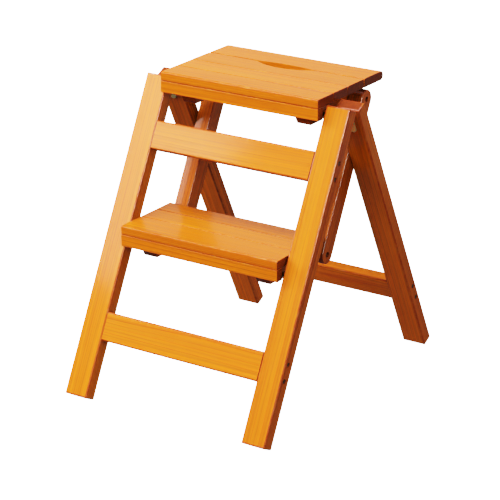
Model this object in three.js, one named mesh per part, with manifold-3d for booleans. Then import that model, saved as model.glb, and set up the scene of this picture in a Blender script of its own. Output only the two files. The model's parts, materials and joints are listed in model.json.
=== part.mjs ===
// Folding step ladder with two treads, in lacquered pine with brass strap hinges.
// Millimetres. +Z is up, -Y is the side that is climbed, +X is to the right as seen from there.
// The origin is on the floor, under the middle of the footprint.
import * as THREE from 'three';
import { mergeVertices } from 'three/addons/utils/BufferGeometryUtils.js';
import Module from 'manifold-3d';

const wasm = await Module();
wasm.setup();

// Overall sizes
const WIDTH = 381;
const TOP_TREAD_HEIGHT = 500;
const LOWER_TREAD_HEIGHT = 272.5;
const LEAN = THREE.MathUtils.degToRad(26.8);
const HINGE_HEIGHT = 475.2;

// Legs, measured across (x) and through (y) the leg
const LEG_WIDTH = 42;
const FRONT_LEG_THICKNESS = 24;
const REAR_LEG_THICKNESS = 22;
const HINGE_OFFSET = 2.5; // hinge axis to the face of either leg
const WOOD_ROUNDING = 2.5;
const HINGE_SIDE_ROUNDING = 4; // of the leg ends' corners next to the hinge and on the floor
const OUTER_END_ROUNDING = 3;

// Rails
const FRONT_RAIL = { height: 47, thickness: 19, setback: 0.5 };
const FRONT_RAIL_HEIGHTS = { upper: 438, lower: 120 }; // centres, along the leg from its foot
const REAR_RAIL = { height: 43, thickness: 18, along: 121 };

// Treads
const TREAD_WIDTH = 294.6;
const BOARD_THICKNESS = 14.5;
const TOP_BOARD_DEPTHS = [46, 44, 50, 60];
const LOWER_BOARD_DEPTHS = [55, 42, 43];
const BOARD_GAP = 0.6;
const SLOT_BOARD_GAP = 2.5;
const BOARD_EASING = 1.6;
const TREAD_EDGE_ROUNDING = 3;
const REAR_EDGE_ROUNDING = 6.5;
const APRON = { height: 20, thickness: 15 };
const HAND_SLOT = { length: 112, front: 18, rear: 5 }; // front and rear are how far its sides bulge

// Bearers run from front to rear under the boards, and the link bars join their rear ends
const BEARER = { outerX: 120, thickness: 25, drop: 51, chamfer: 9.2 };
const LINK_BAR = { innerX: 121, thickness: 26, depth: 31 };
const PIVOT_BELOW_TREAD = 32;
const PIVOT_BEHIND_EDGE = 27;
const LINK_FROM_PIVOT = { y: 123, z: -4 };

// Rods, bolts and screws
const PIVOT_ROD_RADIUS = 5;
const LOCK_ROD = { radius: 7, below: 30 }; // below the hinge axis, along the rear legs
const ROD_DEPTH_IN_LEG = 18;
const NOTCH = { slope: THREE.MathUtils.degToRad(38), depth: 40 };
const LINK_BOLT = { radius: 3, underHead: 4.2, headRadius: 4.2, headHeight: 3, length: 44, recess: 3.5 };
const RAIL_SCREW = { radius: 2, underHead: 2.2, headRadius: 3.6, headHeight: 2.4, length: 62, recess: 1 };
const HINGE_SCREW = { radius: 1.4, underHead: 1.6, headRadius: 2.7, headHeight: 1.2, length: 14 };
const RAIL_SCREW_SPACING = 26;
const HINGE_SCREW_DROPS = [15, 34]; // below the hinge axis
const TIP_LENGTH = 1;

// Strap hinges
const LEAF = { centreX: 171, width: 13, length: 46, thickness: 1.2 };
const KNUCKLE_RADIUS = 2.2;
const HINGE_PIN_RADIUS = 1.1;

const GAP = 0.3; // between pieces that touch
const CUT_PAST = 1; // how far a cutter reaches past the surface that it opens
const ROUND_SIDES = 20;
const SMALL_SIDES = 12;
const EDGE_SEGMENTS = 5; // along each rounded edge
const ARC_SEGMENTS = 14; // along each larger arc

const SIN = Math.sin(LEAN);
const COS = Math.cos(LEAN);
const LEG_OUTER_X = WIDTH / 2;
const LEG_INNER_X = LEG_OUTER_X - LEG_WIDTH;
const FOOT_WEAR = HINGE_SIDE_ROUNDING * (SIN + COS - 1); // height that a rounded foot corner loses
const LEG_LENGTH = (HINGE_HEIGHT + HINGE_OFFSET * SIN + FOOT_WEAR) / COS;
const HINGE_Y = (FRONT_LEG_THICKNESS - REAR_LEG_THICKNESS) / 2 * COS;
const SIDES = [['left', -1], ['right', 1]];

// Materials
const material = (color, roughness, metalness) => () =>
  new THREE.MeshStandardMaterial({ color, roughness, metalness });
const pine = material(0xe39a45, 0.35, 0);
const darkPine = material(0xc97a2c, 0.4, 0);
const brass = material(0xd8bd72, 0.35, 0.9);
const steel = material(0x8d8a86, 0.4, 1);

// Solids and geometry
function toSolid(geometry) {
  const bare = geometry.clone();
  bare.deleteAttribute('normal');
  bare.deleteAttribute('uv');
  const merged = mergeVertices(bare, 1e-4);
  const vertProperties = new Float32Array(merged.attributes.position.array);
  const triVerts = new Uint32Array(merged.index.array);
  return new wasm.Manifold(new wasm.Mesh({ numProp: 3, vertProperties, triVerts }));
}

function toGeometry(solid) {
  const mesh = solid.getMesh();
  const geometry = new THREE.BufferGeometry();
  geometry.setAttribute('position', new THREE.BufferAttribute(mesh.vertProperties, 3));
  geometry.setIndex(new THREE.BufferAttribute(mesh.triVerts, 1));
  geometry.computeVertexNormals();
  return geometry;
}

function cut(geometry, tools) {
  const remaining = tools.reduce((solid, tool) => solid.subtract(toSolid(tool)), toSolid(geometry));
  return toGeometry(remaining);
}

function join(geometries) {
  return toGeometry(geometries.map(toSolid).reduce((solid, next) => solid.add(next)));
}

function common(geometries) {
  return toGeometry(geometries.map(toSolid).reduce((solid, next) => solid.intersect(next)));
}

// A rectangle with its own radius at each corner, anticlockwise from the low corner
function roundedRectangle(x0, y0, x1, y1, radii) {
  const [lowLeft, lowRight, highRight, highLeft] = radii;
  const outline = new THREE.Shape();
  outline.absarc(x0 + lowLeft, y0 + lowLeft, lowLeft, Math.PI, Math.PI * 1.5);
  outline.absarc(x1 - lowRight, y0 + lowRight, lowRight, -Math.PI / 2, 0);
  outline.absarc(x1 - highRight, y1 - highRight, highRight, 0, Math.PI / 2);
  outline.absarc(x0 + highLeft, y1 - highLeft, highLeft, Math.PI / 2, Math.PI);
  return outline;
}

function evenRectangle(x0, y0, x1, y1, radius) {
  return roundedRectangle(x0, y0, x1, y1, [radius, radius, radius, radius]);
}

function extrude(outline, depth, curveSegments) {
  return new THREE.ExtrudeGeometry(outline, { depth, bevelEnabled: false, curveSegments });
}

// Extrudes an outline drawn in (y, z) along X
function extrudeX(outline, x0, x1, curveSegments = EDGE_SEGMENTS) {
  const turn = new THREE.Matrix4().makeBasis(
    new THREE.Vector3(0, 1, 0),
    new THREE.Vector3(0, 0, 1),
    new THREE.Vector3(1, 0, 0),
  );
  return extrude(outline, x1 - x0, curveSegments).applyMatrix4(turn).translate(x0, 0, 0);
}

function rodX(radius, x0, x1, y, z, sides = ROUND_SIDES) {
  return new THREE.CylinderGeometry(radius, radius, x1 - x0, sides)
    .rotateZ(-Math.PI / 2)
    .translate((x0 + x1) / 2, y, z);
}

// A screw or bolt turned about Y: its head's top is at y = 0 and its shank points to -Y
function fastener({ radius, underHead, headRadius, headHeight, length }) {
  const profile = [
    [0, -length],
    [radius, TIP_LENGTH - length],
    [radius, -headHeight],
    [underHead, -headHeight],
    [headRadius, 0],
    [0, 0],
  ];
  return new THREE.LatheGeometry(profile.map(([r, y]) => new THREE.Vector2(r, y)), SMALL_SIDES);
}

// The hole that a fastener sits in, with its clearance, reaching past the top of the head
function fastenerHole({ radius, headRadius, headHeight, length }, reach) {
  const depth = length + GAP + reach;
  const shank = new THREE.CylinderGeometry(radius + GAP, radius + GAP, depth, SMALL_SIDES)
    .translate(0, reach - depth / 2, 0);
  const headDepth = headHeight + GAP + reach;
  const head = new THREE.CylinderGeometry(headRadius + GAP, headRadius + GAP, headDepth, SMALL_SIDES)
    .translate(0, reach - headDepth / 2, 0);
  return join([shank, head]);
}

// Turns a fastener or its hole to point in from the outside of the left (-1) or right (1) side
function pointOut(geometry, side, x, y, z) {
  return geometry.clone().rotateZ(-side * Math.PI / 2).translate(side * x, y, z);
}

function mesh(name, geometry, makeMaterial) {
  const piece = new THREE.Mesh(geometry, makeMaterial());
  piece.name = name;
  return piece;
}

// Each frame is built upright about the hinge axis, and its group is then leaned.
// In a frame, y is the distance behind the hinge axis and z runs up the legs.
const FRONT_FACE = -HINGE_OFFSET - FRONT_LEG_THICKNESS;
const REAR_FACE = HINGE_OFFSET + REAR_LEG_THICKNESS;
const FRONT_MIDDLE = -HINGE_OFFSET - FRONT_LEG_THICKNESS / 2;
const REAR_MIDDLE = HINGE_OFFSET + REAR_LEG_THICKNESS / 2;
const fromFoot = (along) => along - LEG_LENGTH;

// A point of a leaned frame, in the object's own axes. turn is -1 for the front frame, 1 for the rear
function leaned(turn, y, z) {
  return { y: HINGE_Y + y * COS - turn * z * SIN, z: HINGE_HEIGHT + turn * y * SIN + z * COS };
}

// Pivot of a tread on the front legs' middle line, at a height above the floor
function pivotAtHeight(height) {
  const z = (height - HINGE_HEIGHT + FRONT_MIDDLE * SIN) / COS;
  return { ...leaned(-1, FRONT_MIDDLE, z), along: z };
}

const TOP_PIVOT = pivotAtHeight(TOP_TREAD_HEIGHT - PIVOT_BELOW_TREAD);
const LOWER_PIVOT = pivotAtHeight(LOWER_TREAD_HEIGHT - PIVOT_BELOW_TREAD);
const LOCK_POINT = leaned(1, REAR_MIDDLE, -LOCK_ROD.below);

function rail(name, centre, y0, y1, height) {
  const outline = evenRectangle(y0, centre - height / 2, y1, centre + height / 2, WOOD_ROUNDING);
  const reach = LEG_INNER_X - GAP;
  return { name, blank: extrudeX(outline, -reach, reach), centre, middle: (y0 + y1) / 2 };
}

const frontRails = Object.entries(FRONT_RAIL_HEIGHTS).map(([place, along]) => {
  const y0 = FRONT_FACE + FRONT_RAIL.setback;
  return rail(`${place}_front_rail`, fromFoot(along), y0, y0 + FRONT_RAIL.thickness, FRONT_RAIL.height);
});
const rearRail = rail(
  'rear_rail',
  fromFoot(REAR_RAIL.along),
  REAR_FACE - REAR_RAIL.thickness,
  REAR_FACE,
  REAR_RAIL.height,
);

// The places of the screws that hold the rails: two through each leg into each rail's end
function railScrewPlaces(rails) {
  return SIDES.flatMap(([sideName, side]) => rails.flatMap(({ name, centre, middle }) =>
    [1, -1].map((step, index) => ({
      name: `${name}_${sideName}_screw_${index + 1}`,
      side,
      middle,
      along: centre + step * RAIL_SCREW_SPACING / 2,
    }))));
}

function atRailScrew(geometry, { side, middle, along }) {
  return pointOut(geometry, side, LEG_OUTER_X - RAIL_SCREW.recess, middle, along);
}

function railScrewHoles(rails) {
  const hole = fastenerHole(RAIL_SCREW, RAIL_SCREW.recess + CUT_PAST);
  return railScrewPlaces(rails).map((place) => ({ side: place.side, cutter: atRailScrew(hole, place) }));
}

function railScrewPieces(rails) {
  const screw = fastener(RAIL_SCREW);
  return railScrewPlaces(rails).map((place) => mesh(place.name, atRailScrew(screw, place), steel));
}

function railPiece({ name, blank }, holes) {
  return mesh(name, cut(blank, holes.map((hole) => hole.cutter)), pine);
}

// A leg is what its cross-section, side view and front view share, each with rounded corners.
// sideRadii go anticlockwise from the low corner at y0
function legBlank(middle, y0, y1, sideRadii) {
  const x0 = middle - LEG_WIDTH / 2;
  const x1 = middle + LEG_WIDTH / 2;
  const section = evenRectangle(x0, y0, x1, y1, WOOD_ROUNDING);
  const side = roundedRectangle(y0, -LEG_LENGTH, y1, 0, sideRadii);
  const front = evenRectangle(x0, -LEG_LENGTH, x1, 0, WOOD_ROUNDING);
  return common([
    extrude(section, LEG_LENGTH + 2 * CUT_PAST, EDGE_SEGMENTS).translate(0, 0, -LEG_LENGTH - CUT_PAST),
    extrudeX(side, x0 - CUT_PAST, x1 + CUT_PAST),
    extrude(front, y1 - y0 + 2 * CUT_PAST, EDGE_SEGMENTS).rotateX(Math.PI / 2).translate(0, y1 + CUT_PAST, 0),
  ]);
}

function legs(place, y0, y1, sideRadii, screwHoles, otherHoles) {
  return SIDES.map(([sideName, side]) => {
    const blank = legBlank(side * (LEG_OUTER_X + LEG_INNER_X) / 2, y0, y1, sideRadii);
    const own = screwHoles.filter((hole) => hole.side === side).map((hole) => hole.cutter);
    return mesh(`${sideName}_${place}_leg`, cut(blank, [...own, ...otherHoles(side)]), pine);
  });
}

// The blind hole in a leg's inner side for the end of a full-width rod
function rodSocket(side, radius, y, z) {
  const ends = [LEG_INNER_X - CUT_PAST, LEG_INNER_X + ROD_DEPTH_IN_LEG + GAP].map((x) => side * x);
  return rodX(radius + GAP, Math.min(...ends), Math.max(...ends), y, z);
}

function fullRod(name, radius, y, z, makeMaterial) {
  const reach = LEG_INNER_X + ROD_DEPTH_IN_LEG;
  return mesh(name, rodX(radius, -reach, reach, y, z), makeMaterial);
}

// Hinge leaves lie against the leg faces; turn is -1 for the front leaf, 1 for the rear leaf.
// Their screws, or the screws' holes, go in at x
function atLeafScrews(geometry, turn, x) {
  const y = turn * (HINGE_OFFSET - GAP - LEAF.thickness);
  const facing = geometry.clone().rotateX(turn > 0 ? Math.PI : 0);
  return HINGE_SCREW_DROPS.map((drop) => facing.clone().translate(x, y, -drop));
}

const KNUCKLE_THIRD = LEAF.width / 3;

function hingeLeaf(side, turn) {
  const outline = new THREE.Shape();
  const half = LEAF.width / 2;
  outline.moveTo(half, 0);
  outline.lineTo(-half, 0);
  outline.absarc(0, half - LEAF.length, half, Math.PI, Math.PI * 2);
  const face = turn * (HINGE_OFFSET - GAP);
  const y1 = Math.max(face, face - turn * LEAF.thickness);
  const plate = extrude(outline, LEAF.thickness, ARC_SEGMENTS).rotateX(Math.PI / 2).translate(0, y1, 0);
  const centres = turn < 0 ? [-1, 1] : [0];
  const others = turn < 0 ? [0] : [-1, 1];
  const barrelHalf = KNUCKLE_THIRD / 2 - GAP / 2;
  const barrels = centres.map((step) => rodX(KNUCKLE_RADIUS, step * KNUCKLE_THIRD - barrelHalf,
    step * KNUCKLE_THIRD + barrelHalf, 0, 0));
  const clearances = others.map((step) => rodX(KNUCKLE_RADIUS + 2 * GAP,
    step * KNUCKLE_THIRD - barrelHalf - GAP, step * KNUCKLE_THIRD + barrelHalf + GAP, 0, 0));
  const bore = rodX(HINGE_PIN_RADIUS + GAP, -LEAF.width, LEAF.width, 0, 0);
  const holes = atLeafScrews(fastenerHole(HINGE_SCREW, CUT_PAST), turn, 0);
  return cut(join([plate, ...barrels]), [...clearances, bore, ...holes]).translate(side * LEAF.centreX, 0, 0);
}

function hingePieces(turn) {
  const place = turn < 0 ? 'front' : 'rear';
  const screw = fastener(HINGE_SCREW);
  return SIDES.flatMap(([sideName, side]) => [
    mesh(`${sideName}_hinge_${place}_leaf`, hingeLeaf(side, turn), brass),
    ...atLeafScrews(screw, turn, side * LEAF.centreX).map((geometry, index) =>
      mesh(`${sideName}_hinge_${place}_screw_${index + 1}`, geometry, brass)),
  ]);
}

function hingePins() {
  return SIDES.map(([sideName, side]) => {
    const centre = side * LEAF.centreX;
    const half = LEAF.width / 2;
    const pin = rodX(HINGE_PIN_RADIUS, centre - half, centre + half, 0, 0);
    return mesh(`${sideName}_hinge_pin`, pin, brass);
  });
}

function frontFrame() {
  const frame = new THREE.Group();
  const holes = railScrewHoles(frontRails);
  const hingeHole = fastenerHole(HINGE_SCREW, 0);
  const sideRadii = [OUTER_END_ROUNDING, HINGE_SIDE_ROUNDING, HINGE_SIDE_ROUNDING, OUTER_END_ROUNDING];
  frame.add(...legs('front', FRONT_FACE, -HINGE_OFFSET, sideRadii, holes, (side) => [
    ...[TOP_PIVOT, LOWER_PIVOT].map(({ along }) => rodSocket(side, PIVOT_ROD_RADIUS, FRONT_MIDDLE, along)),
    ...atLeafScrews(hingeHole, -1, side * LEAF.centreX),
  ]));
  frame.add(...frontRails.map((item) => railPiece(item, holes)));
  frame.add(fullRod('top_pivot_rod', PIVOT_ROD_RADIUS, FRONT_MIDDLE, TOP_PIVOT.along, steel));
  frame.add(fullRod('lower_pivot_rod', PIVOT_ROD_RADIUS, FRONT_MIDDLE, LOWER_PIVOT.along, steel));
  frame.add(...railScrewPieces(frontRails), ...hingePieces(-1), ...hingePins());
  frame.rotation.x = -LEAN;
  return frame;
}

function rearFrame() {
  const frame = new THREE.Group();
  const holes = railScrewHoles([rearRail]);
  const hingeHole = fastenerHole(HINGE_SCREW, 0);
  const sideRadii = [HINGE_SIDE_ROUNDING, OUTER_END_ROUNDING, OUTER_END_ROUNDING, HINGE_SIDE_ROUNDING];
  frame.add(...legs('rear', HINGE_OFFSET, REAR_FACE, sideRadii, holes, (side) => [
    rodSocket(side, LOCK_ROD.radius, REAR_MIDDLE, -LOCK_ROD.below),
    ...atLeafScrews(hingeHole, 1, side * LEAF.centreX),
  ]));
  frame.add(railPiece(rearRail, holes));
  frame.add(fullRod('lock_rod', LOCK_ROD.radius, REAR_MIDDLE, -LOCK_ROD.below, darkPine));
  frame.add(...railScrewPieces([rearRail]), ...hingePieces(1));
  frame.rotation.x = LEAN;
  return frame;
}

// A lens-shaped hole across the joint of two boards: each side is an arc through both ends
function slotCutter(jointY, top) {
  const half = HAND_SLOT.length / 2;
  const outline = new THREE.Shape();
  [[HAND_SLOT.front, -1], [HAND_SLOT.rear, 1]].forEach(([bulge, way]) => {
    const radius = (half * half + bulge * bulge) / (2 * bulge);
    const spread = Math.asin(half / radius);
    const middle = way * Math.PI / 2;
    outline.absarc(0, way * (bulge - radius), radius, middle - spread, middle + spread);
  });
  return extrude(outline, BOARD_THICKNESS + 2 * CUT_PAST, ARC_SEGMENTS)
    .translate(0, jointY, top - BOARD_THICKNESS - CUT_PAST);
}

// The boards of a tread, from its front edge back. gapBefore says how far apart two boards are
function boards(prefix, depths, edgeY, top, gapBefore) {
  const low = top - BOARD_THICKNESS;
  let y = edgeY;
  return depths.map((depth, index) => {
    const first = index === 0;
    const last = index === depths.length - 1;
    const y0 = first ? y : y + gapBefore(index) / 2;
    const y1 = last ? y + depth : y + depth - gapBefore(index + 1) / 2;
    const front = first ? TREAD_EDGE_ROUNDING : BOARD_EASING;
    const rear = last ? REAR_EDGE_ROUNDING : BOARD_EASING;
    const outline = roundedRectangle(y0, low, y1, top, [BOARD_EASING, rear, rear, front]);
    y += depth;
    const geometry = extrudeX(outline, -TREAD_WIDTH / 2, TREAD_WIDTH / 2);
    return { name: `${prefix}_board_${index + 1}`, geometry };
  });
}

// The notch that drops over the lock rod: round at the top, with the rear wall upright and the
// front wall sloped along the rod's way out
function notchCutter(x0, x1) {
  const { slope, depth } = NOTCH;
  const reach = LOCK_ROD.radius + 2 * GAP;
  const outline = new THREE.Shape();
  outline.absarc(LOCK_POINT.y, LOCK_POINT.z, reach, 0, Math.PI - slope);
  outline.lineTo(LOCK_POINT.y - reach * Math.cos(slope) - depth * Math.sin(slope),
    LOCK_POINT.z + reach * Math.sin(slope) - depth * Math.cos(slope));
  outline.lineTo(LOCK_POINT.y + reach, LOCK_POINT.z - depth);
  return extrudeX(outline, x0, x1, ARC_SEGMENTS);
}

function bearer(name, side, edgeY, top, pivot, withNotch) {
  const frontY = edgeY + APRON.thickness + GAP;
  const highZ = top - BOARD_THICKNESS - GAP;
  const lowZ = top - BEARER.drop;
  const apronLow = top - BOARD_THICKNESS - APRON.height;
  const endRadius = (highZ - lowZ) / 2;
  const linkY = pivot.y + LINK_FROM_PIVOT.y;
  const linkZ = pivot.z + LINK_FROM_PIVOT.z;
  const outline = new THREE.Shape();
  outline.moveTo(frontY, highZ);
  outline.lineTo(frontY, apronLow);
  outline.lineTo(frontY + BEARER.chamfer, lowZ);
  outline.absarc(linkY, highZ - endRadius, endRadius, -Math.PI / 2, Math.PI / 2);
  const x0 = Math.min(side * BEARER.outerX, side * (BEARER.outerX - BEARER.thickness));
  const x1 = x0 + BEARER.thickness;
  const cutters = [
    rodX(PIVOT_ROD_RADIUS + GAP, x0 - CUT_PAST, x1 + CUT_PAST, pivot.y, pivot.z),
    rodX(LINK_BOLT.radius + GAP, x0 - CUT_PAST, x1 + CUT_PAST, linkY, linkZ, SMALL_SIDES),
  ];
  if (withNotch) cutters.push(notchCutter(x0 - CUT_PAST, x1 + CUT_PAST));
  return mesh(name, cut(extrudeX(outline, x0, x1, ARC_SEGMENTS), cutters), darkPine);
}

function tread(prefix, depths, top, pivot, withSlot) {
  const group = new THREE.Group();
  const edgeY = pivot.y - PIVOT_BEHIND_EDGE;
  const slotJoint = depths.length - 1;
  const gapBefore = (index) => (withSlot && index === slotJoint ? SLOT_BOARD_GAP : BOARD_GAP);
  const jointY = edgeY + depths.slice(0, slotJoint).reduce((sum, depth) => sum + depth, 0);
  boards(prefix, depths, edgeY, top, gapBefore).forEach(({ name, geometry }, index) => {
    const besideSlot = withSlot && index >= slotJoint - 1;
    const finished = besideSlot ? cut(geometry, [slotCutter(jointY, top)]) : geometry;
    group.add(mesh(name, finished, pine));
  });
  const under = top - BOARD_THICKNESS;
  const apronLow = under - APRON.height;
  const apron = evenRectangle(edgeY, apronLow, edgeY + APRON.thickness, under - GAP, BOARD_EASING);
  group.add(mesh(`${prefix}_apron`, extrudeX(apron, -TREAD_WIDTH / 2, TREAD_WIDTH / 2), pine));
  SIDES.forEach(([sideName, side]) => {
    group.add(bearer(`${prefix}_${sideName}_bearer`, side, edgeY, top, pivot, withSlot));
  });
  return group;
}

// Link bars: straight, round-ended, one outside each pair of bearers
function linkBars() {
  const group = new THREE.Group();
  const low = { y: LOWER_PIVOT.y + LINK_FROM_PIVOT.y, z: LOWER_PIVOT.z + LINK_FROM_PIVOT.z };
  const high = { y: TOP_PIVOT.y + LINK_FROM_PIVOT.y, z: TOP_PIVOT.z + LINK_FROM_PIVOT.z };
  const radius = LINK_BAR.depth / 2;
  const outline = new THREE.Shape();
  outline.absarc(low.y, low.z, radius, Math.PI - LEAN, Math.PI * 2 - LEAN);
  outline.absarc(high.y, high.z, radius, -LEAN, Math.PI - LEAN);
  const bolt = fastener(LINK_BOLT);
  const hole = fastenerHole(LINK_BOLT, LINK_BOLT.recess + CUT_PAST);
  const headX = LINK_BAR.innerX + LINK_BAR.thickness - LINK_BOLT.recess;
  SIDES.forEach(([sideName, side]) => {
    const x0 = Math.min(side * LINK_BAR.innerX, side * (LINK_BAR.innerX + LINK_BAR.thickness));
    const blank = extrudeX(outline, x0, x0 + LINK_BAR.thickness, ARC_SEGMENTS);
    const holes = [low, high].map(({ y, z }) => pointOut(hole, side, headX, y, z));
    group.add(mesh(`${sideName}_link_bar`, cut(blank, holes), pine));
    group.add(mesh(`${sideName}_link_lower_bolt`, pointOut(bolt, side, headX, low.y, low.z), steel));
    group.add(mesh(`${sideName}_link_top_bolt`, pointOut(bolt, side, headX, high.y, high.z), steel));
  });
  return group;
}

const ladder = new THREE.Group();
const leanedFrames = [frontFrame(), rearFrame()];
leanedFrames.forEach((frame) => frame.position.set(0, HINGE_Y, HINGE_HEIGHT));
ladder.add(...leanedFrames);
ladder.add(tread('top', TOP_BOARD_DEPTHS, TOP_TREAD_HEIGHT, TOP_PIVOT, true));
ladder.add(tread('lower', LOWER_BOARD_DEPTHS, LOWER_TREAD_HEIGHT, LOWER_PIVOT, false));
ladder.add(linkBars());

export default ladder;
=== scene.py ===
import json
import math
import random

import bmesh
import bpy
from mathutils import Matrix, Vector


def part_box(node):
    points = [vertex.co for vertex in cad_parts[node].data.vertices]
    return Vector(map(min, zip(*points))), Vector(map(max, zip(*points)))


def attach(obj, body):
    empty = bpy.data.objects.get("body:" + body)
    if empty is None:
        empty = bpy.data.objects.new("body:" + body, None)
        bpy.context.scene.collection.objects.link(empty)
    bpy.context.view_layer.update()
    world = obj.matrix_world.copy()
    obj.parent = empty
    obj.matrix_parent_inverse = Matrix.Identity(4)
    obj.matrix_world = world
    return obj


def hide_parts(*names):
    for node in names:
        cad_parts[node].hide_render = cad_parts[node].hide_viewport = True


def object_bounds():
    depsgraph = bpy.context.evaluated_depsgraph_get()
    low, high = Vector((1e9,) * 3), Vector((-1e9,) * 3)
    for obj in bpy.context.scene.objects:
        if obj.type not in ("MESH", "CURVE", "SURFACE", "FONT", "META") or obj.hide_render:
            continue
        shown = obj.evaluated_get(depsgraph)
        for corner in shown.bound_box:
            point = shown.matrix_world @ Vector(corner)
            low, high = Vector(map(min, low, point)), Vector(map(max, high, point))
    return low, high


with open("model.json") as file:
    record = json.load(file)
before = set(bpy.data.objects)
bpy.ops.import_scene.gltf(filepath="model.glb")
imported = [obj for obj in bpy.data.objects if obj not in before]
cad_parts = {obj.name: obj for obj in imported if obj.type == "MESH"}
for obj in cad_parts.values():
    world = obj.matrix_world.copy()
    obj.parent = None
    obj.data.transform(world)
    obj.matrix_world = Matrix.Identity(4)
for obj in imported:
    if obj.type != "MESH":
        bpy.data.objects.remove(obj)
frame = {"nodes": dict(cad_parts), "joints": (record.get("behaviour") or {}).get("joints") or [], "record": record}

NODES = frame["nodes"]
RECORD = frame["record"]
JOINTS = {joint["name"]: joint for joint in frame["joints"]}
BODY_OF = {node: body for body, nodes in RECORD["behaviour"]["bodies"].items() for node in nodes}
CAD_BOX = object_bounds()

MM = 0.001
X_AXIS = Vector((1, 0, 0))
Y_AXIS = Vector((0, 1, 0))

# Lean of the frames: the two tread pivots lie on the front legs' middle line
PIVOT_LINE = Vector(JOINTS["top_tread_lift"]["pos_m"]) - Vector(JOINTS["lower_tread_lift"]["pos_m"])
FRONT_UP = PIVOT_LINE.normalized()
REAR_UP = Vector((0, -FRONT_UP.y, FRONT_UP.z))
FRONT_BACKWARD = -X_AXIS.cross(FRONT_UP)
REAR_BACKWARD = -X_AXIS.cross(REAR_UP)

# Main camera as seen from its aim: angles in degrees, distance in metres, lens in millimetres
VIEW = {"azimuth": 33.1, "elevation": 20.6, "distance": 3.44, "lens": 151.9}
AIM_OFFSET = Vector((-0.0067, 0, -0.0406))  # from the middle of the CAD box

# Tone: the scene brightness that shows as full white, and where the camera's response is sampled
FULL_WHITE = 3.0
TONE_STEPS = (0.03, 0.08, 0.16, 0.3, 0.5, 0.8, 1.3, 2.0)
RESPONSE = {"ceiling": 1.03, "contrast": 1.46, "middle": 0.288}

# Mesh clean-up
WELD = 0.002 * MM
FLAT_ANGLE = math.radians(1)
CRISP_ANGLE = math.radians(62)
SMOOTH_ANGLE = math.radians(38)
HOLE_REACH = 22 * MM  # a chain of edges that spans this or less is taken for a hole's rim
FLAT_FACE_WIDTH = 4 * MM

# How far the eased edges reach in from each corner, and how many strips round them
LEG_EASE = 1.6 * MM
RAIL_EASE = 0.35 * MM
BOARD_EASE = 0.8 * MM
APRON_EASE = 0.35 * MM
BEARER_EASE = 1.0 * MM
LINK_BAR_EASE = 1.6 * MM
HOLE_EASE = 0.35 * MM
PIVOT_ROD_EASE = 0.8 * MM
LOCK_ROD_EASE = 1.0 * MM
LEAF_EASE = 0.25 * MM
LEAF_HOLE_EASE = 0.12 * MM
EDGE_STRIPS = 4
LEAF_STRIPS = 3
HOLE_STRIPS = 2


# ---------------------------------------------------------------- finished copies of the CAD pieces

def clean_surface(node):
    """A CAD node's surface with its triangles joined into whole faces."""
    surface = bmesh.new()
    surface.from_mesh(NODES[node].data)
    bmesh.ops.remove_doubles(surface, verts=surface.verts, dist=WELD)
    bmesh.ops.dissolve_limit(surface, angle_limit=FLAT_ANGLE, verts=surface.verts, edges=surface.edges)
    return surface


def crisp_edges(surface):
    return [e for e in surface.edges if e.is_manifold and e.calc_face_angle() > CRISP_ANGLE]


def chains(edges):
    """Groups the edges that touch one another, each group in a fixed order."""
    waiting = {edge.index: edge for edge in edges}
    groups = []
    while waiting:
        group = [waiting.pop(min(waiting))]
        for edge in group:
            for touching in [other for vertex in edge.verts for other in vertex.link_edges]:
                if touching.index in waiting:
                    group.append(waiting.pop(touching.index))
        groups.append(group)
    return groups


def reach(chain):
    """Diagonal of the box round a chain of edges."""
    points = [vertex.co for edge in chain for vertex in edge.verts]
    low = Vector([min(point[axis] for point in points) for axis in range(3)])
    high = Vector([max(point[axis] for point in points) for axis in range(3)])
    return (high - low).length


def ease(surface, edges, offset, strips):
    if edges:
        bmesh.ops.bevel(surface, geom=edges, offset=offset, offset_type="OFFSET", segments=strips,
                        profile=0.5, affect="EDGES", clamp_overlap=True, loop_slide=True)
        surface.normal_update()


def crisp_chains(surface):
    surface.edges.index_update()
    return chains(crisp_edges(surface))


def ease_all(surface, outline_ease, hole_ease, strips):
    """Rounds the edges of a piece: its outline by one amount, then its small holes by another."""
    outlines = [edge for chain in crisp_chains(surface) if reach(chain) > HOLE_REACH for edge in chain]
    ease(surface, outlines, outline_ease, strips)
    holes = [edge for chain in crisp_chains(surface) if reach(chain) <= HOLE_REACH for edge in chain]
    ease(surface, holes, hole_ease, HOLE_STRIPS)


def face_width(face):
    """Width of a long strip, or about half the side of a square."""
    return 2 * face.calc_area() / max(face.calc_perimeter(), 1e-9)


def mark_eased(surface):
    """A value of 1 on every vertex of a rounded edge that no flat face touches, for the edges' wear."""
    eased = surface.verts.layers.float.new("eased")
    for vertex in surface.verts:
        touches_flat = any(face_width(face) > FLAT_FACE_WIDTH for face in vertex.link_faces)
        vertex[eased] = 0.0 if touches_flat else 1.0


def smooth_mesh(surface, name, material):
    mesh = bpy.data.meshes.new(name)
    surface.to_mesh(mesh)
    surface.free()
    for polygon in mesh.polygons:
        polygon.use_smooth = True
    mesh.set_sharp_from_angle(angle=SMOOTH_ANGLE)
    mesh.materials.append(material)
    return mesh


def show(mesh, node, matrix=Matrix.Identity(4)):
    """Adds a finished piece that stands for a CAD node and rides on the node's body."""
    piece = bpy.data.objects.new(f"{node}.finished", mesh)
    bpy.context.scene.collection.objects.link(piece)
    piece.matrix_world = matrix
    weighted = piece.modifiers.new("weighted_normals", "WEIGHTED_NORMAL")
    weighted.keep_sharp = True
    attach(piece, BODY_OF[node])
    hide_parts(node)
    return piece


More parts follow.
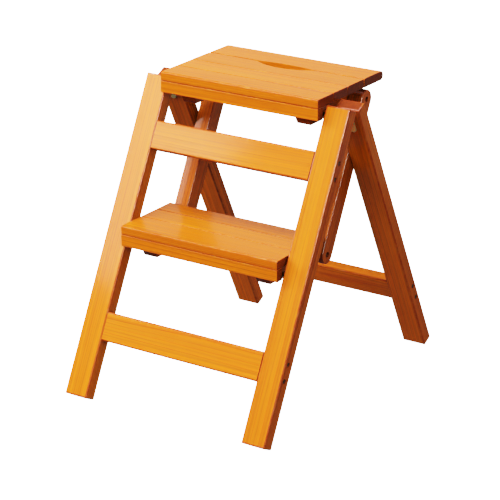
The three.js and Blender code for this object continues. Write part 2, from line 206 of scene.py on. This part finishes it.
def eased_piece(node, material, outline_ease, hole_ease=HOLE_EASE, strips=EDGE_STRIPS):
    """A piece with the shape of its CAD node, with eased edges."""
    surface = clean_surface(node)
    ease_all(surface, outline_ease, hole_ease, strips)
    mark_eased(surface)
    return show(smooth_mesh(surface, node, material), node)


def wooden_piece(node, grain, material, outline_ease, hole_ease=HOLE_EASE):
    place_in_tree(eased_piece(node, material, outline_ease, hole_ease), node, grain)


def place_in_tree(piece, node, grain):
    """Where in its tree the piece was sawn from, and how light it is, both from its name."""
    draw = random.Random(node)
    low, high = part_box(node)
    centre = grain_frame(grain) @ ((low + high) / 2)
    to_pith = draw.uniform(45, 110) * MM
    turn = draw.uniform(0, math.tau)
    metres_up = draw.uniform(0, 8)
    from_pith = Vector((metres_up, to_pith * math.cos(turn), to_pith * math.sin(turn)))
    piece["sawn_from"] = list(from_pith - centre)
    piece["tone"] = draw.uniform(-1, 1)


def grain_frame(grain):
    """Turns a direction or place in the row frame to (along the grain, across it, across it)."""
    across = grain.orthogonal().normalized() if abs(grain.x) > 0.9 else X_AXIS
    return Matrix((grain, across, grain.cross(across)))


# ---------------------------------------------------------------- materials

class Shader:
    """A short way to write a node tree: each call adds a node and links what it is given."""

    def __init__(self, name):
        self.material = bpy.data.materials.new(name)
        self.material.use_nodes = True
        self.tree = self.material.node_tree
        self.surface = self.tree.nodes["Principled BSDF"]

    def add(self, kind, inputs=(), **settings):
        node = self.tree.nodes.new(kind)
        for key, value in settings.items():
            setattr(node, key, value)
        for key, value in dict(inputs).items():
            self.feed(node.inputs[key], value)
        return node

    def feed(self, socket, value):
        if isinstance(value, bpy.types.NodeSocket):
            self.tree.links.new(value, socket)
        else:
            socket.default_value = value

    def math(self, operation, a, b=0.0, clamp=False):
        return self.add("ShaderNodeMath", {0: a, 1: b}, operation=operation, use_clamp=clamp).outputs[0]

    def vector(self, operation, a, b=(0, 0, 0)):
        node = self.add("ShaderNodeVectorMath", {0: a, 1: b}, operation=operation)
        return node.outputs["Value" if operation == "LENGTH" else "Vector"]

    def noise(self, vector, scale, detail=2.0, roughness=0.5, output="Fac"):
        inputs = {"Vector": vector, "Scale": scale, "Detail": detail, "Roughness": roughness}
        return self.add("ShaderNodeTexNoise", inputs).outputs[output]

    def grained(self, place, along, across, detail, roughness=0.5, output="Fac"):
        """Noise with its own scale along the grain and across it."""
        stretched = self.vector("MULTIPLY", place, (along, across, across))
        return self.noise(stretched, 1.0, detail, roughness, output)

    def ramp(self, value, stops):
        node = self.add("ShaderNodeValToRGB", {"Fac": value})
        elements = node.color_ramp.elements
        while len(elements) < len(stops):
            elements.new(0.5)
        for element, (position, level) in zip(elements, stops):
            element.position = position
            element.color = (level, level, level, 1)
        return node.outputs["Color"]

    def mix(self, factor, a, b, blend="MIX"):
        node = self.add("ShaderNodeMix", data_type="RGBA", blend_type=blend)
        self.feed(node.inputs[0], factor)
        self.feed(node.inputs[6], a)
        self.feed(node.inputs[7], b)
        return node.outputs[2]

    def scaled(self, value, low, high):
        """A 0 to 1 value spread over low to high."""
        return self.add("ShaderNodeMapRange", {"Value": value, "To Min": low, "To Max": high}).outputs[0]

    def attribute(self, name, kind="OBJECT"):
        return self.add("ShaderNodeAttribute", attribute_type=kind, attribute_name=name)

    def bump(self, height, distance, strength):
        inputs = {"Height": height, "Distance": distance, "Strength": strength}
        return self.add("ShaderNodeBump", inputs).outputs["Normal"]

    def tinted(self, base, tint):
        return self.mix(1.0, base, tint, "MULTIPLY")

    def shaded(self, base, level):
        """A colour multiplied by a value."""
        grey = self.add("ShaderNodeCombineColor", {"Red": level, "Green": level, "Blue": level})
        return self.tinted(base, grey.outputs[0])

    def finish(self, settings):
        for key, value in settings.items():
            self.feed(self.surface.inputs[key], value)
        return self.material


def colour(red, green, blue):
    return (red, green, blue, 1)


# Earlywood, latewood, and the stain on the eased edges
WOOD = {
    "frame_wood": {
        "early": colour(0.85, 0.178, 0.005),
        "late": colour(0.66, 0.100, 0.002),
        "edge": colour(0.44, 0.058, 0.002),
    },
    "tread_wood": {
        "early": colour(0.84, 0.180, 0.005),
        "late": colour(0.66, 0.102, 0.002),
        "edge": colour(0.60, 0.095, 0.003),
    },
    "bearer_wood": {
        "early": colour(0.74, 0.145, 0.006),
        "late": colour(0.54, 0.085, 0.003),
        "edge": colour(0.38, 0.050, 0.002),
    },
    "rod_wood": {
        "early": colour(0.60, 0.160, 0.020),
        "late": colour(0.46, 0.100, 0.012),
        "edge": colour(0.40, 0.080, 0.008),
    },
}
WORN_WOOD = colour(0.90, 0.36, 0.06)
GOLDEN_TINT = colour(1.06, 1.25, 1.4)
PORE_TINT = colour(0.62, 0.45, 0.3)
# End grain takes up more stain and shows darker; this tint darkens it further as painted shade, for end faces that
# sit in the shade of the legs and treads
END_GRAIN_STAIN_AND_SHADE_TINT = colour(0.28, 0.20, 0.20)
RING_SPACING = 3.1 * MM
RING_WANDER = 5 * MM  # to either side
WOOD_RELIEF = 0.12 * MM
LACQUER_RELIEF = 0.07 * MM
BRUSH_RELIEF = 0.03 * MM


def year_rings(s, sawn):
    """0 in earlywood to 1 in latewood, in rings round the pith that bend a little along the tree."""
    wander = s.vector("SUBTRACT", s.grained(sawn, 1.6, 9, 2, output="Color"), (0.5, 0.5, 0.5))
    wander = s.vector("MULTIPLY", wander, (0, RING_WANDER * 2, RING_WANDER * 2))
    bent = s.vector("ADD", s.vector("MULTIPLY", sawn, (0, 1, 1)), wander)
    years = s.math("DIVIDE", s.vector("LENGTH", bent), RING_SPACING)
    latewood = s.ramp(s.math("FRACT", years), [(0, 0), (0.35, 0.08), (0.72, 0.45), (0.9, 1), (1, 0)])
    whole = {"W": s.math("FLOOR", years)}
    strong = s.add("ShaderNodeTexWhiteNoise", whole, noise_dimensions="1D").outputs["Value"]
    return s.math("MULTIPLY", latewood, s.scaled(strong, 0.35, 1.0))


def end_grain_share(s, normal, turn):
    """0 on a long side to 1 where the surface faces along the grain."""
    facing = s.add("ShaderNodeMapping", {"Vector": normal, "Rotation": turn}).outputs[0]
    along = s.math("ABSOLUTE", s.add("ShaderNodeSeparateXYZ", {"Vector": facing}).outputs["X"])
    return s.ramp(along, [(0.2, 0), (0.55, 1)])


def grown_colour(s, tint, sawn, latewood, fibre, pore):
    """The wood's own colour: rings, streaks, fibres, golden drifts, pores and the piece's tone."""
    drift = s.grained(sawn, 3.5, 26, 2)
    streak = s.grained(sawn, 2.0, 210, 3, 0.6)
    base = s.mix(s.math("MULTIPLY", latewood, 0.85), tint["early"], tint["late"])
    base = s.shaded(base, s.scaled(streak, 0.52, 1.48))
    base = s.shaded(base, s.scaled(fibre, 0.78, 1.22))
    base = s.mix(s.scaled(drift, -0.4, 1.1), base, s.tinted(base, GOLDEN_TINT))
    base = s.mix(s.math("MULTIPLY", pore, 0.3), base, s.tinted(base, PORE_TINT))
    tone = s.attribute("tone").outputs["Fac"]
    return s.shaded(base, s.math("ADD", s.math("MULTIPLY", tone, 0.06), 1.0))


def worn_edges(s, tint, sawn, base):
    """Stain gathers on the eased edges, and is rubbed thin there in a few places."""
    eased = s.attribute("eased", "GEOMETRY").outputs["Fac"]
    gathered = s.ramp(s.noise(sawn, 22, 3, 0.6), [(0.25, 0.6), (0.6, 1)])
    base = s.mix(s.math("MULTIPLY", eased, s.math("MULTIPLY", gathered, 0.75)), base, tint["edge"])
    rubbed = s.ramp(s.noise(sawn, 46, 4, 0.65), [(0.5, 0), (0.72, 1)])
    wear = s.math("MULTIPLY", eased, rubbed, clamp=True)
    return s.mix(s.math("MULTIPLY", wear, 0.3), base, WORN_WOOD), wear


def pine(slot, grain):
    """Lacquered pine sawn along the grain direction."""
    s = Shader(f"{slot}_{'xyz'[max(range(3), key=lambda axis: abs(grain[axis]))]}{grain.y:+.1f}")
    place = s.add("ShaderNodeTexCoord")
    turn = grain_frame(grain).to_euler("XYZ")
    in_grain = s.add("ShaderNodeMapping", {"Vector": place.outputs["Object"], "Rotation": turn})
    sawn = s.vector("ADD", in_grain.outputs[0], s.attribute("sawn_from").outputs["Vector"])

    latewood = year_rings(s, sawn)
    fibre = s.grained(sawn, 7, 620, 4, 0.6)
    pore = s.ramp(s.grained(sawn, 55, 2300, 1), [(0.30, 1), (0.40, 0)])
    end_grain = end_grain_share(s, place.outputs["Normal"], turn)
    base = grown_colour(s, WOOD[slot], sawn, latewood, fibre, pore)
    # End grain is darker from the stain it soaks up, and darker again as painted shade
    base = s.mix(s.math("MULTIPLY", end_grain, 0.95), base, s.tinted(base, END_GRAIN_STAIN_AND_SHADE_TINT))
    base, wear = worn_edges(s, WOOD[slot], sawn, base)

    # Fibres show through the lacquer, and the lacquer itself is slightly uneven
    roughness = s.math("ADD", s.scaled(fibre, 0.34, 0.50), s.math("MULTIPLY", wear, 0.12))
    roughness = s.math("ADD", roughness, s.math("MULTIPLY", end_grain, 0.12), clamp=True)
    relief = s.math("ADD", s.math("MULTIPLY", fibre, 0.6), s.math("MULTIPLY", latewood, 0.5))
    relief = s.math("SUBTRACT", relief, s.math("MULTIPLY", pore, 0.5))
    flow = s.math("ADD", s.grained(sawn, 60, 130, 2), s.math("MULTIPLY", fibre, 0.35))
    return s.finish({
        "Base Color": base,
        "Roughness": roughness,
        "Normal": s.bump(relief, WOOD_RELIEF, 0.7),
        "Coat Normal": s.bump(flow, LACQUER_RELIEF, 0.6),
        "Specular IOR Level": 0.2,
        "Coat Weight": 0.6,
        "Coat Roughness": 0.09,
        "Coat IOR": 1.5,
        "IOR": 1.45,
    })


def brushed_metal(name, metal, dark, roughness, brushed_along, metallic=1.0):
    """Plated sheet or wire: fine brush lines, a little tarnish and small dark spots."""
    s = Shader(name)
    place = s.add("ShaderNodeTexCoord").outputs["Object"]
    fine = [60.0 if axis == brushed_along else 5200.0 for axis in range(3)]
    lines = s.noise(s.vector("MULTIPLY", place, fine), 1.0, 3, 0.6)
    tarnish = s.ramp(s.noise(place, 210, 5, 0.65), [(0.42, 0), (0.72, 1)])
    spots = s.ramp(s.noise(place, 1500, 2), [(0.62, 0), (0.72, 1)])
    base = s.mix(s.math("MULTIPLY", tarnish, 0.5), metal, dark)
    base = s.mix(s.math("MULTIPLY", spots, 0.35), base, dark)
    base = s.shaded(base, s.scaled(lines, 0.85, 1.12))
    rough = s.scaled(lines, roughness - 0.08, roughness + 0.1)
    rough = s.math("ADD", rough, s.math("MULTIPLY", tarnish, 0.12))
    return s.finish({
        "Base Color": base,
        "Metallic": metallic,
        "Roughness": rough,
        "Normal": s.bump(lines, BRUSH_RELIEF, 0.5),
    })


# ---------------------------------------------------------------- screws and bolts

SIDES = 24
RINGS_PER_TURN = 6  # of the thread
THINNEST = 0.15 * MM  # radius at a screw's tip
CROSS_ARM = 0.3  # half the width of a cross recess's arm, of the arm's length


def head_and_length(node, inward):
    """Middle of the head's top, length and head radius of a CAD screw or bolt."""
    surface = clean_surface(node)
    points = [vertex.co.copy() for vertex in surface.verts]
    surface.free()
    depths = [point.dot(inward) for point in points]
    top = min(depths)
    rim = [point for point, depth in zip(points, depths) if depth < top + 10 * WELD]
    centre = sum(rim, Vector()) / len(rim)
    return centre, max(depths) - top, max((point - centre).length for point in rim)


def ring(surface, z, radius_at):
    """A ring of vertices with a radius for each angle."""
    vertices = []
    for step in range(SIDES):
        angle = math.tau * step / SIDES
        radius = radius_at(angle)
        vertices.append(surface.verts.new((radius * math.cos(angle), radius * math.sin(angle), z)))
    return vertices


def circle(surface, z, radius):
    return ring(surface, z, lambda angle: radius)


def bridge(surface, upper, lower):
    for step in range(len(upper)):
        following = (step + 1) % len(upper)
        surface.faces.new((upper[step], lower[step], lower[following], upper[following]))


def outline_edges(surface, vertices):
    return [surface.edges.get((a, b)) or surface.edges.new((a, b))
            for a, b in zip(vertices, vertices[1:] + vertices[:1])]


def cross_outline(size):
    """The outline of a cross recess, anticlockwise."""
    arm = size * CROSS_ARM
    corners = []
    for quarter in range(4):
        turn = Matrix.Rotation(quarter * math.pi / 2, 2)
        corners += [turn @ Vector(p) for p in ((size, -arm), (size, arm), (arm, arm))]
    return corners


def hexagon_outline(size):
    return [Vector((size * math.cos(k * math.pi / 3), size * math.sin(k * math.pi / 3))) for k in range(6)]


def driver_recess(surface, top_ring, outline, depth, taper):
    """Fills the head's top round a driver recess, and sinks the recess."""
    mouth = [surface.verts.new((p.x, p.y, 0)) for p in outline]
    edges = outline_edges(surface, top_ring) + outline_edges(surface, mouth)
    bmesh.ops.triangle_fill(surface, use_beauty=True, use_dissolve=False, edges=edges)
    floor = [surface.verts.new((p.x * taper, p.y * taper, -depth)) for p in outline]
    bridge(surface, mouth, floor)
    surface.faces.new(floor)


def thread_radius(size, length, z, angle):
    """Radius of the shank: plain under the head, then a helical ridge, and thinner at the tip."""
    phase = (z / size["pitch"] - angle / math.tau) % 1
    plain = -z < size["head"] + size["plain"]
    ridge = 0 if plain else size["ridge"] * max(0.0, 1 - abs(phase - 0.5) * 4)
    to_tip = min(1.0, (length + z) / size["tip"])
    return max((size["shank"] - size["ridge"] + ridge) * to_tip, THINNEST)


def threaded_fastener(name, radius, length, size, outline, taper, material):
    """A screw or bolt that points to -Z from its head's top at the origin."""
    surface = bmesh.new()
    rounding = size["rounding"]
    top = circle(surface, 0, radius - rounding)
    driver_recess(surface, top, outline, size["recess"], taper)
    rings = [top, circle(surface, -rounding * 0.3, radius - rounding * 0.3)]
    rings += [circle(surface, -rounding, radius), circle(surface, -size["head"], size["under"])]
    shank = length - size["head"]
    steps = int(shank / size["pitch"] * RINGS_PER_TURN)
    for step in range(1, steps + 1):
        z = -size["head"] - shank * step / steps
        rings.append(ring(surface, z, lambda angle: thread_radius(size, length, z, angle)))
    for upper, lower in zip(rings, rings[1:]):
        bridge(surface, upper, lower)
    surface.faces.new(list(reversed(rings[-1])))
    bmesh.ops.recalc_face_normals(surface, faces=surface.faces)
    return smooth_mesh(surface, name, material)


def point_along(origin, inward, turn):
    """Places a fastener with its head's top at origin, pointing inward."""
    facing = (-inward).to_track_quat("Z", "Y").to_matrix().to_4x4()
    return Matrix.Translation(origin) @ facing @ Matrix.Rotation(turn, 4, "Z")


def fasteners(nodes, inward_of, make_mesh):
    """Stands one shared mesh in for each CAD screw, each turned to its own angle."""
    mesh = None
    for node in nodes:
        inward = inward_of(node)
        origin, length, radius = head_and_length(node, inward)
        mesh = mesh or make_mesh(length, radius)
        turn = random.Random(node).uniform(0, math.tau)
        show(mesh, node, point_along(origin, inward, turn))


def in_mm(**sizes):
    return {name: value * MM for name, value in sizes.items()}


# ---------------------------------------------------------------- the ladder

def named(*words):
    """CAD nodes whose names hold every one of these words."""
    return [node for node in sorted(NODES) if all(word in node for word in words)]


def to_middle(node):
    """Direction from a left or right side of the ladder to its middle."""
    return X_AXIS if "left" in node else -X_AXIS


def build_frames():
    front_pine = pine("frame_wood", FRONT_UP)
    rear_pine = pine("frame_wood", REAR_UP)
    rail_pine = pine("frame_wood", X_AXIS)
    for node in named("front_leg"):
        wooden_piece(node, FRONT_UP, front_pine, LEG_EASE)
    for node in named("rear_leg"):
        wooden_piece(node, REAR_UP, rear_pine, LEG_EASE)
    for node in ("upper_front_rail", "lower_front_rail", "rear_rail"):
        wooden_piece(node, X_AXIS, rail_pine, RAIL_EASE)


def build_treads():
    tread_pine = pine("tread_wood", X_AXIS)
    bearer_pine = pine("bearer_wood", Y_AXIS)
    for node in named("board_"):
        wooden_piece(node, X_AXIS, tread_pine, BOARD_EASE)
    for node in named("apron"):
        wooden_piece(node, X_AXIS, tread_pine, APRON_EASE)
    for node in named("bearer"):
        wooden_piece(node, Y_AXIS, bearer_pine, BEARER_EASE)


def build_link_bars():
    link_pine = pine("bearer_wood", FRONT_UP)
    for node in named("link_bar"):
        wooden_piece(node, FRONT_UP, link_pine, LINK_BAR_EASE)


def build_rods():
    steel = brushed_metal("rod_steel", colour(0.55, 0.53, 0.50), colour(0.30, 0.27, 0.23), 0.3, 0)
    for node in ("top_pivot_rod", "lower_pivot_rod"):
        eased_piece(node, steel, PIVOT_ROD_EASE, PIVOT_ROD_EASE)
    wooden_piece("lock_rod", X_AXIS, pine("rod_wood", X_AXIS), LOCK_ROD_EASE, LOCK_ROD_EASE)


def build_hinges():
    pale, tarnished = colour(0.86, 0.76, 0.42), colour(0.50, 0.38, 0.15)
    brass = brushed_metal("hinge_brass", pale, tarnished, 0.4, 2, metallic=0.5)
    for node in named("hinge", "leaf") + named("hinge_pin"):
        eased_piece(node, brass, LEAF_EASE, LEAF_HOLE_EASE, LEAF_STRIPS)

    def screw_mesh(length, radius):
        size = in_mm(rounding=0.25, recess=0.9, under=1.35, head=1.2,
                     shank=1.4, ridge=0.35, pitch=1.1, tip=3, plain=0.5)
        outline = cross_outline(radius * 0.5)
        return threaded_fastener("hinge_screw", radius, length, size, outline, 0.6, brass)

    def inward_of(node):
        return -FRONT_BACKWARD if "front" in node else REAR_BACKWARD

    fasteners(named("hinge", "screw"), inward_of, screw_mesh)


def build_rail_screws_and_bolts():
    zinc = brushed_metal("zinc_steel", colour(0.36, 0.28, 0.18), colour(0.16, 0.11, 0.06), 0.38, 1)

    def screw_mesh(length, radius):
        size = in_mm(rounding=0.35, recess=1.6, under=1.9, head=2.4,
                     shank=2, ridge=0.6, pitch=2.2, tip=5, plain=16)
        outline = cross_outline(radius * 0.52)
        return threaded_fastener("rail_screw", radius, length, size, outline, 0.6, zinc)

    def bolt_mesh(length, radius):
        size = in_mm(rounding=0.5, recess=2, under=4.2, head=3,
                     shank=3, ridge=0.45, pitch=1.0, tip=1, plain=24)
        outline = hexagon_outline(radius * 0.58)
        return threaded_fastener("link_bolt", radius, length, size, outline, 1.0, zinc)

    fasteners(named("rail", "screw"), to_middle, screw_mesh)
    fasteners(named("bolt"), to_middle, bolt_mesh)


# ---------------------------------------------------------------- stage

# Softboxes aimed at the ladder: place and size in metres, and watts
LIGHT_AIM = (0, 0, 0.25)
SOFTBOXES = {
    "key": ((-2.7, -0.9, 1.5), (1.5, 1.5), 52),
    "sheen": ((-2.1, -1.9, 1.95), (1.3, 1.3), 21),
    "front_high": ((0.0, -2.4, 2.2), (1.6, 1.4), 33),
    "front_low": ((0.25, -3.0, 0.7), (1.0, 0.8), 9),
    "overhead": ((-0.3, -0.4, 2.6), (1.6, 1.6), 56),
    "rear_left": ((-2.2, 3.0, 1.6), (3.4, 2.4), 9.5),
    "rear_middle": ((0.9, 2.7, 1.7), (1.6, 1.4), 10),
    "rear_right": ((2.4, 2.2, 1.5), (2.4, 2.0), 6),
    "right_strip": ((2.6, -1.3, 1.05), (0.25, 1.5), 10),
}

# Cards that lie on the floor and face up: middle and size in metres, and watts
CARD_HEIGHT = 1 * MM
FLOOR_CARDS = {
    "front_floor_bounce": ((0, -0.5), (3.2, 3.2), 1.5),
    "rear_floor_bounce": ((1.0, 1.5), (1.3, 1.1), 0.6),
}


def add_floor():
    bpy.ops.mesh.primitive_plane_add(size=16)
    floor = bpy.context.object
    floor.name = "floor"
    material = bpy.data.materials.new("pale_floor")
    material.use_nodes = True
    surface = material.node_tree.nodes["Principled BSDF"]
    surface.inputs["Base Color"].default_value = colour(0.9, 0.9, 0.9)
    surface.inputs["Roughness"].default_value = 0.9
    surface.inputs["Emission Color"].default_value = colour(1, 1, 1)
    surface.inputs["Emission Strength"].default_value = FULL_WHITE
    floor.data.materials.append(material)
    floor.visible_diffuse = False
    floor.visible_glossy = False


def add_softbox(name, place, aim, size, watts, tint=(1, 1, 1)):
    data = bpy.data.lights.new(name, "AREA")
    data.shape = "RECTANGLE"
    data.size, data.size_y = size
    data.energy = watts
    data.color = tint
    light = bpy.data.objects.new(name, data)
    bpy.context.scene.collection.objects.link(light)
    light.location = place
    light.rotation_euler = (Vector(aim) - Vector(place)).to_track_quat("-Z", "Y").to_euler()
    return light


def add_edge_gleam():
    """A softbox that shows only as a reflection, and only on the legs and link bars."""
    place, size, watts, tint = (2.7, -0.9, 1.5), (2.8, 0.9), 150, (1, 0.86, 0.8)
    gleam = add_softbox("edge_gleam", place, LIGHT_AIM, size, watts, tint)
    gleam.visible_diffuse = False
    receivers = bpy.data.collections.new("edges_lit_by_gleam")
    for node in named("leg") + named("link_bar"):
        receivers.objects.link(bpy.data.objects[f"{node}.finished"])
    gleam.light_linking.receiver_collection = receivers


def add_lights():
    for name, (place, size, watts) in SOFTBOXES.items():
        add_softbox(name, place, LIGHT_AIM, size, watts)
    add_edge_gleam()
    for name, ((x, y), size, watts) in FLOOR_CARDS.items():
        card = add_softbox(name, (x, y, CARD_HEIGHT), (x, y, 1), size, watts)
        card.visible_camera = False


def add_world():
    """A faint warm glow on the object, and plain white where the camera looks past the floor."""
    world = bpy.data.worlds.new("studio")
    world.use_nodes = True
    tree = world.node_tree
    glow = tree.nodes["Background"]
    glow.inputs["Color"].default_value = colour(1.0, 0.92, 0.8)
    glow.inputs["Strength"].default_value = 0.08
    backdrop = tree.nodes.new("ShaderNodeBackground")
    backdrop.inputs["Color"].default_value = colour(1, 1, 1)
    backdrop.inputs["Strength"].default_value = FULL_WHITE
    seen = tree.nodes.new("ShaderNodeLightPath")
    choice = tree.nodes.new("ShaderNodeMixShader")
    tree.links.new(seen.outputs["Is Camera Ray"], choice.inputs[0])
    tree.links.new(glow.outputs[0], choice.inputs[1])
    tree.links.new(backdrop.outputs[0], choice.inputs[2])
    tree.links.new(choice.outputs[0], tree.nodes["World Output"].inputs[0])
    bpy.context.scene.world = world


def limit_bounces():
    """No diffuse light passes from wood to wood, which keeps the shadows from turning red."""
    bpy.context.scene.cycles.diffuse_bounces = 0


def add_camera():
    azimuth = math.radians(VIEW["azimuth"])
    elevation = math.radians(VIEW["elevation"])
    away = Vector((math.sin(azimuth) * math.cos(elevation), -math.cos(azimuth) * math.cos(elevation),
                   math.sin(elevation)))
    data = bpy.data.cameras.new("camera")
    data.lens = VIEW["lens"]
    camera = bpy.data.objects.new("camera", data)
    bpy.context.scene.collection.objects.link(camera)
    aim = (CAD_BOX[0] + CAD_BOX[1]) / 2 + AIM_OFFSET
    camera.location = aim + away * VIEW["distance"]
    camera.rotation_euler = (-away).to_track_quat("-Z", "Y").to_euler()
    bpy.context.scene.camera = camera


def film_response(light):
    """How a camera renders a scene brightness: contrast in the dark and a soft shoulder near white."""
    exposed = light ** RESPONSE["contrast"]
    return RESPONSE["ceiling"] * exposed / (exposed + RESPONSE["middle"])


def set_tone():
    view = bpy.context.scene.view_settings
    view.view_transform = "Standard"
    view.use_curve_mapping = True
    view.curve_mapping.white_level = (FULL_WHITE,) * 3
    combined = view.curve_mapping.curves[3]
    for light in TONE_STEPS:
        combined.points.new(light / FULL_WHITE, film_response(light))
    view.curve_mapping.update()


add_camera()
build_frames()
build_treads()
build_link_bars()
build_rods()
build_hinges()
build_rail_screws_and_bolts()
add_floor()
add_lights()
add_world()
limit_bounces()
set_tone()
